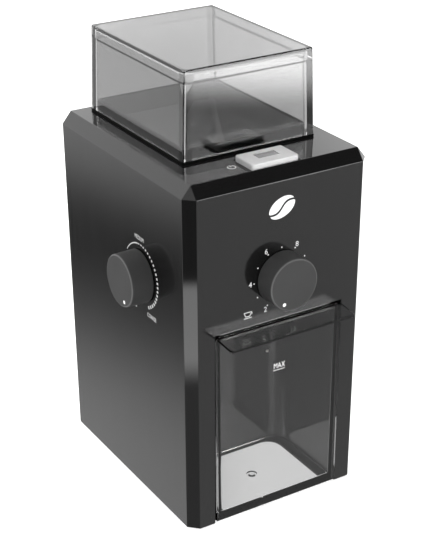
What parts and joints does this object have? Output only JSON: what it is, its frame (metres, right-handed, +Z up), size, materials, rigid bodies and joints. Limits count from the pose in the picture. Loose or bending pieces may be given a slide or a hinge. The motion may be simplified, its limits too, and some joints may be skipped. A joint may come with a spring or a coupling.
{
  "type": "burr coffee grinder",
  "caption": "Upright black coffee grinder with a clear lidded bean hopper on top, a clear drawer for ground coffee in front, and knobs for quantity and grind.",
  "frame": {"origin": "centre of the base of the box round the whole grinder, on the surface it stands on", "axes": "+Z up along the housing, -Y out of the front with the drawer and the quantity knob, -X out of the side with the coarseness knob"},
  "size_m": [0.1294, 0.1588, 0.2598],
  "materials": {
    "housing_black": "glossy black moulding with a fine brushed sheen",
    "satin_black": "satin black moulding",
    "hopper_black": "satin black moulding",
    "knob_grey": "fine-grained dark grey",
    "smoked_clear": "clear smoked plastic, polished",
    "silver_plastic": "silver paint on plastic",
    "dark_window": "dark translucent window",
    "rubber": "matt black rubber",
    "steel": "plain bright steel",
    "burr_steel": "ground tool steel",
    "lamination_steel": "stacked motor laminations",
    "brass": "machined brass",
    "nylon": "natural white nylon",
    "carbon": "pressed carbon",
    "circuit_board": "coated circuit board",
    "switch_black": "satin black moulding"
  },
  "bodies": {
    "body": {"housing": "housing_black", "base_plate": "satin_black", "foot_front_left": "rubber", "foot_front_right": "rubber", "foot_rear_left": "rubber", "foot_rear_right": "rubber", "base_screw_front_left": "steel", "base_screw_front_right": "steel", "base_screw_rear_left": "steel", "base_screw_rear_right": "steel", "cord_gland": "rubber", "container_bay": "satin_black", "bean_hopper": "hopper_black", "power_switch": "switch_black", "control_bracket": "satin_black", "timer_board": "circuit_board", "quantity_potentiometer": "switch_black", "shaft_bracket": "satin_black", "motor_can": "steel", "motor_end_cap": "satin_black", "motor_bush": "brass", "stator": "lamination_steel", "brush_left": "carbon", "brush_right": "carbon", "motor_frame": "steel", "gear_deck": "steel", "burr_bearing": "steel", "grinding_chamber": "satin_black", "chute": "satin_black", "lid_switch": "switch_black", "container_switch": "switch_black", "button_spring": "steel"},
    "lid": {"hopper_lid": "smoked_clear"},
    "button": {"on_off_button": "silver_plastic", "button_window": "dark_window"},
    "quantity_control": {"quantity_knob": "knob_grey", "quantity_shaft": "steel"},
    "coarseness_control": {"coarseness_knob": "knob_grey", "coarseness_shaft": "steel", "coarseness_pinion": "nylon"},
    "adjuster": {"adjuster_ring": "nylon"},
    "upper_burr_assembly": {"upper_burr": "burr_steel", "upper_burr_carrier": "satin_black"},
    "rotor": {"rotor_shaft": "steel", "armature": "lamination_steel", "commutator": "brass", "cooling_fan": "nylon", "motor_pinion": "brass"},
    "intermediate": {"intermediate_shaft": "steel", "intermediate_gear": "nylon", "intermediate_pinion": "steel"},
    "burr_drive": {"drive_shaft": "steel", "drive_gear": "nylon", "lower_burr_carrier": "satin_black", "lower_burr": "burr_steel", "bean_feeder": "burr_steel"},
    "container": {"ground_coffee_container": "smoked_clear", "container_cover": "smoked_clear"},
    "lid_pin": {"lid_switch_pin": "nylon"},
    "container_pin": {"container_switch_pin": "nylon"}
  },
  "joints": [
    {"name": "lid_lift", "type": "slide", "parent": "body", "child": "lid", "axis": [0, 0, 1], "range_m": [0, 0.06]},
    {"name": "on_off_press", "type": "slide", "parent": "body", "child": "button", "axis": [0, 0, -1], "range_m": [0, 0.002], "stiffness_N_per_m": 300, "springref_m": -0.002, "deforming": ["button_spring"]},
    {"name": "quantity_turn", "type": "hinge", "parent": "body", "child": "quantity_control", "pos_m": [0.0067, -0.06, 0.147], "axis": [0, 1, 0], "range_deg": [0, 300]},
    {"name": "coarseness_turn", "type": "hinge", "parent": "body", "child": "coarseness_control", "pos_m": [-0.05, -0.0135, 0.1413], "axis": [-1, 0, 0], "range_deg": [0, 312]},
    {"name": "adjuster_turn", "type": "hinge", "parent": "body", "child": "adjuster", "pos_m": [0.0067, -0.0135, 0.15], "axis": [0, 0, 1], "range_deg": [-55, 0]},
    {"name": "burr_gap", "type": "slide", "parent": "adjuster", "child": "upper_burr_assembly", "axis": [0, 0, -1], "range_m": [0, 0.0012]},
    {"name": "motor_spin", "type": "hinge", "parent": "body", "child": "rotor", "pos_m": [0.0067, 0.0408, 0.06], "axis": [0, 0, 1], "continuous": true},
    {"name": "intermediate_spin", "type": "hinge", "parent": "body", "child": "intermediate", "pos_m": [0.0067, 0.01665, 0.11], "axis": [0, 0, 1], "continuous": true},
    {"name": "burr_spin", "type": "hinge", "parent": "body", "child": "burr_drive", "pos_m": [0.0067, -0.0135, 0.14], "axis": [0, 0, 1], "continuous": true},
    {"name": "container_pull", "type": "slide", "parent": "body", "child": "container", "axis": [0, -1, 0], "range_m": [0, 0.075]},
    {"name": "lid_pin_rise", "type": "slide", "parent": "body", "child": "lid_pin", "axis": [0, 0, 1], "range_m": [0, 0.0021]},
    {"name": "container_pin_reach", "type": "slide", "parent": "body", "child": "container_pin", "axis": [0, -1, 0], "range_m": [0, 0.0026]}
  ],
  "couplings": [
    {"joint": "coarseness_turn", "follows": "adjuster_turn", "ratio": -5.6667},
    {"joint": "burr_gap", "follows": "adjuster_turn", "m_per_rad": -0.00125},
    {"joint": "intermediate_spin", "follows": "motor_spin", "ratio": -0.33333},
    {"joint": "burr_spin", "follows": "motor_spin", "ratio": 0.083333},
    {"joint": "lid_pin_rise", "follows": "lid_lift", "ratio": 0.033333},
    {"joint": "container_pin_reach", "follows": "container_pull", "ratio": 0.033333}
  ]
}
